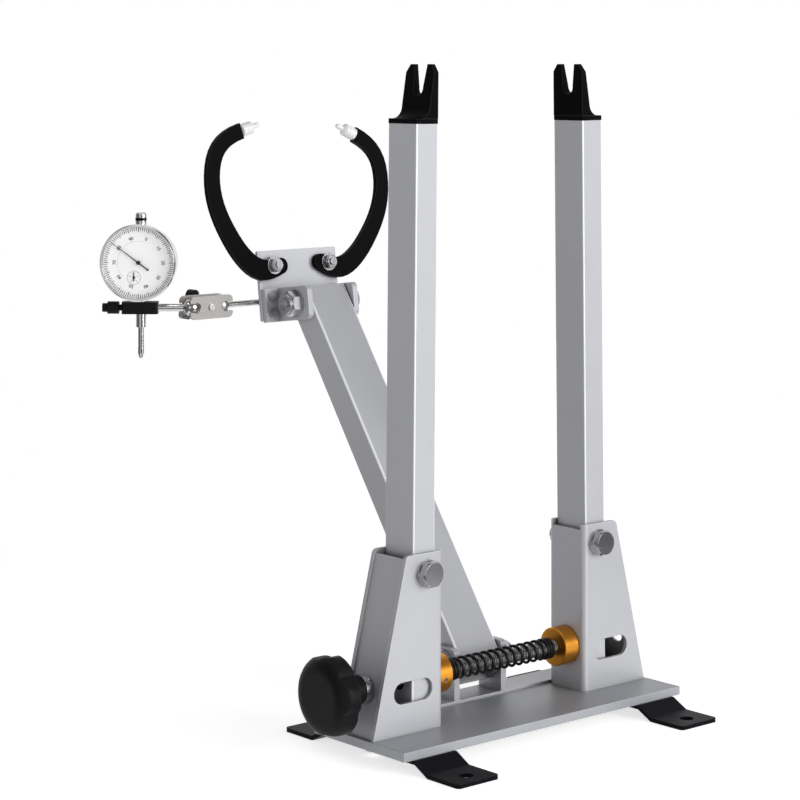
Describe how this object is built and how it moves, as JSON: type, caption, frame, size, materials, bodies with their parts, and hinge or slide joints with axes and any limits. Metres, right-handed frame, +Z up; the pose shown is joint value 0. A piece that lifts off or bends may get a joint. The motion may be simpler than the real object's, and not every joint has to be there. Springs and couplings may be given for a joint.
{
  "type": "bicycle wheel truing stand",
  "caption": "Bench stand that holds a bicycle wheel by its axle between two coupled uprights, with a rear arm carrying rim calipers and a dial gauge.",
  "frame": {"origin": "centre of the four bench holes in the foot strips, at bench level, which is also the middle of the base plate", "axes": "+Z up, +X along the base plate from the star knob's side to the other upright, +Y towards the rear arm"},
  "size_m": [0.301, 0.3859, 0.4749],
  "materials": {
    "base_silver": "satin silver powder coat",
    "foot_black": "satin black powder coat",
    "bracket_silver": "satin silver powder coat",
    "tube_silver": "satin silver powder coat",
    "zinc_steel": "bright zinc plate",
    "fork_black": "satin black coat",
    "rod_steel": "bright turned steel",
    "knob_black": "fine grained black plastic",
    "collar_gold": "satin orange gold anodised",
    "spring_black": "glossy black lacquer",
    "dark_steel": "satin",
    "tip_white": "translucent white nylon",
    "gauge_metal": "satin chrome",
    "dial_white": "printed white",
    "crystal": "clear",
    "hand_black": "matt black"
  },
  "bodies": {
    "stand": {"base_plate": "base_silver", "foot_strip_left": "foot_black", "foot_strip_right": "foot_black", "bracket_left": "bracket_silver", "bracket_right": "bracket_silver", "bracket_cover_left": "bracket_silver", "bracket_cover_right": "bracket_silver", "base_screws": "zinc_steel", "arm_bracket": "bracket_silver", "pivot_bolts": "zinc_steel", "pivot_nuts": "zinc_steel", "arm_pivot_bolt": "zinc_steel"},
    "upright_left": {"upright_left": "tube_silver", "fork_cap_left": "fork_black"},
    "upright_right": {"upright_right": "tube_silver", "fork_cap_right": "fork_black"},
    "trunnion_left": {"trunnion_nut_left": "rod_steel"},
    "trunnion_right": {"trunnion_nut_right": "rod_steel"},
    "screw": {"screw_rod": "rod_steel", "star_knob": "knob_black", "knob_washer": "zinc_steel", "collar_left": "collar_gold", "collar_right": "collar_gold", "collar_set_screws": "zinc_steel", "tension_spring": "spring_black"},
    "arm": {"arm": "tube_silver", "arm_sleeve": "dark_steel"},
    "head": {"head_plate": "bracket_silver", "ear_left": "bracket_silver", "ear_right": "bracket_silver", "head_screws": "zinc_steel", "head_pivot_bolt": "zinc_steel", "head_pivot_nut": "zinc_steel", "rod_clamp": "dark_steel", "gauge_rod": "rod_steel", "caliper_bolt_left": "zinc_steel", "caliper_bolt_right": "zinc_steel", "caliper_nut_left": "zinc_steel", "caliper_nut_right": "zinc_steel"},
    "caliper_left": {"caliper_left": "fork_black", "tip_left": "tip_white"},
    "caliper_right": {"caliper_right": "fork_black", "tip_right": "tip_white"},
    "swivel": {"swivel_plate_front": "dark_steel", "swivel_plate_back": "dark_steel", "swivel_screw": "rod_steel", "swivel_knob": "knob_black"},
    "carrier": {"carrier_rod": "rod_steel", "gauge_clamp": "knob_black", "clamp_screw": "knob_black"},
    "gauge": {"gauge_case": "gauge_metal", "gauge_cap": "gauge_metal", "dial_face": "dial_white"},
    "bezel": {"scale_ring": "dial_white", "bezel": "gauge_metal", "crystal": "crystal"},
    "pointer": {"pointer": "hand_black"},
    "small_pointer": {"small_pointer": "hand_black"},
    "plunger": {"plunger": "rod_steel"}
  },
  "joints": [
    {"name": "upright_left_tilt", "type": "hinge", "parent": "stand", "child": "upright_left", "pos_m": [-0.084, 0.005, 0.1235], "axis": [0, 1, 0], "range_deg": [-1.6, 3.8]},
    {"name": "upright_right_tilt", "type": "hinge", "parent": "stand", "child": "upright_right", "pos_m": [0.084, 0.005, 0.1235], "axis": [0, -1, 0], "range_deg": [-1.6, 3.8]},
    {"name": "trunnion_left_turn", "type": "hinge", "parent": "upright_left", "child": "trunnion_left", "pos_m": [-0.0848, 0.005, 0.0475], "axis": [0, -1, 0], "range_deg": [-1.6, 3.8]},
    {"name": "trunnion_right_turn", "type": "hinge", "parent": "upright_right", "child": "trunnion_right", "pos_m": [0.0848, 0.005, 0.0475], "axis": [0, 1, 0], "range_deg": [-1.6, 3.8]},
    {"name": "screw_turn", "type": "hinge", "parent": "stand", "child": "screw", "pos_m": [0, 0.005, 0.0475], "axis": [1, 0, 0], "range_deg": [-512, 1215]},
    {"name": "arm_tilt", "type": "hinge", "parent": "stand", "child": "arm", "pos_m": [0, 0.0354, 0.0425], "axis": [1, 0, 0], "range_deg": [-20, 20]},
    {"name": "head_tilt", "type": "hinge", "parent": "arm", "child": "head", "pos_m": [0, 0.20762, 0.28937], "axis": [1, 0, 0], "range_deg": [-25, 25]},
    {"name": "caliper_left_swing", "type": "hinge", "parent": "head", "child": "caliper_left", "pos_m": [-0.0272, 0.23298, 0.31729], "axis": [0, 0.9914, -0.1305], "range_deg": [-12, 15]},
    {"name": "caliper_right_swing", "type": "hinge", "parent": "head", "child": "caliper_right", "pos_m": [0.0272, 0.23298, 0.31729], "axis": [0, -0.9914, 0.1305], "range_deg": [-12, 15]},
    {"name": "swivel_turn", "type": "hinge", "parent": "head", "child": "swivel", "pos_m": [-0.072, 0.24129, 0.28846], "axis": [1, 0, 0], "range_deg": [-40, 40]},
    {"name": "carrier_swing", "type": "hinge", "parent": "swivel", "child": "carrier", "pos_m": [-0.1, 0.24129, 0.28846], "axis": [0, 0, 1], "range_deg": [-5, 80]},
    {"name": "gauge_turn", "type": "hinge", "parent": "carrier", "child": "gauge", "pos_m": [-0.12861, 0.26705, 0.28846], "axis": [0, 0, 1], "range_deg": [-60, 60]},
    {"name": "bezel_turn", "type": "hinge", "parent": "gauge", "child": "bezel", "pos_m": [-0.12861, 0.26705, 0.32346], "axis": [-0.7314, -0.682, 0], "continuous": true},
    {"name": "plunger_slide", "type": "slide", "parent": "gauge", "child": "plunger", "axis": [0, 0, 1], "range_m": [0, 0.01], "stiffness_N_per_m": 80, "springref_m": -0.01},
    {"name": "pointer_turn", "type": "hinge", "parent": "gauge", "child": "pointer", "pos_m": [-0.12861, 0.26705, 0.32346], "axis": [-0.7314, -0.682, 0], "range_deg": [-3601, 1]},
    {"name": "small_pointer_turn", "type": "hinge", "parent": "gauge", "child": "small_pointer", "pos_m": [-0.13114, 0.26976, 0.31205], "axis": [-0.7314, -0.682, 0], "range_deg": [-1, 361]}
  ],
  "couplings": [
    {"joint": "upright_right_tilt", "follows": "upright_left_tilt", "ratio": 1},
    {"joint": "trunnion_left_turn", "follows": "upright_left_tilt", "ratio": 1},
    {"joint": "trunnion_right_turn", "follows": "upright_left_tilt", "ratio": 1},
    {"joint": "screw_turn", "follows": "upright_left_tilt", "ratio": 318.35},
    {"joint": "pointer_turn", "follows": "plunger_slide", "rad_per_m": -6283.2},
    {"joint": "small_pointer_turn", "follows": "plunger_slide", "rad_per_m": 628.32}
  ]
}
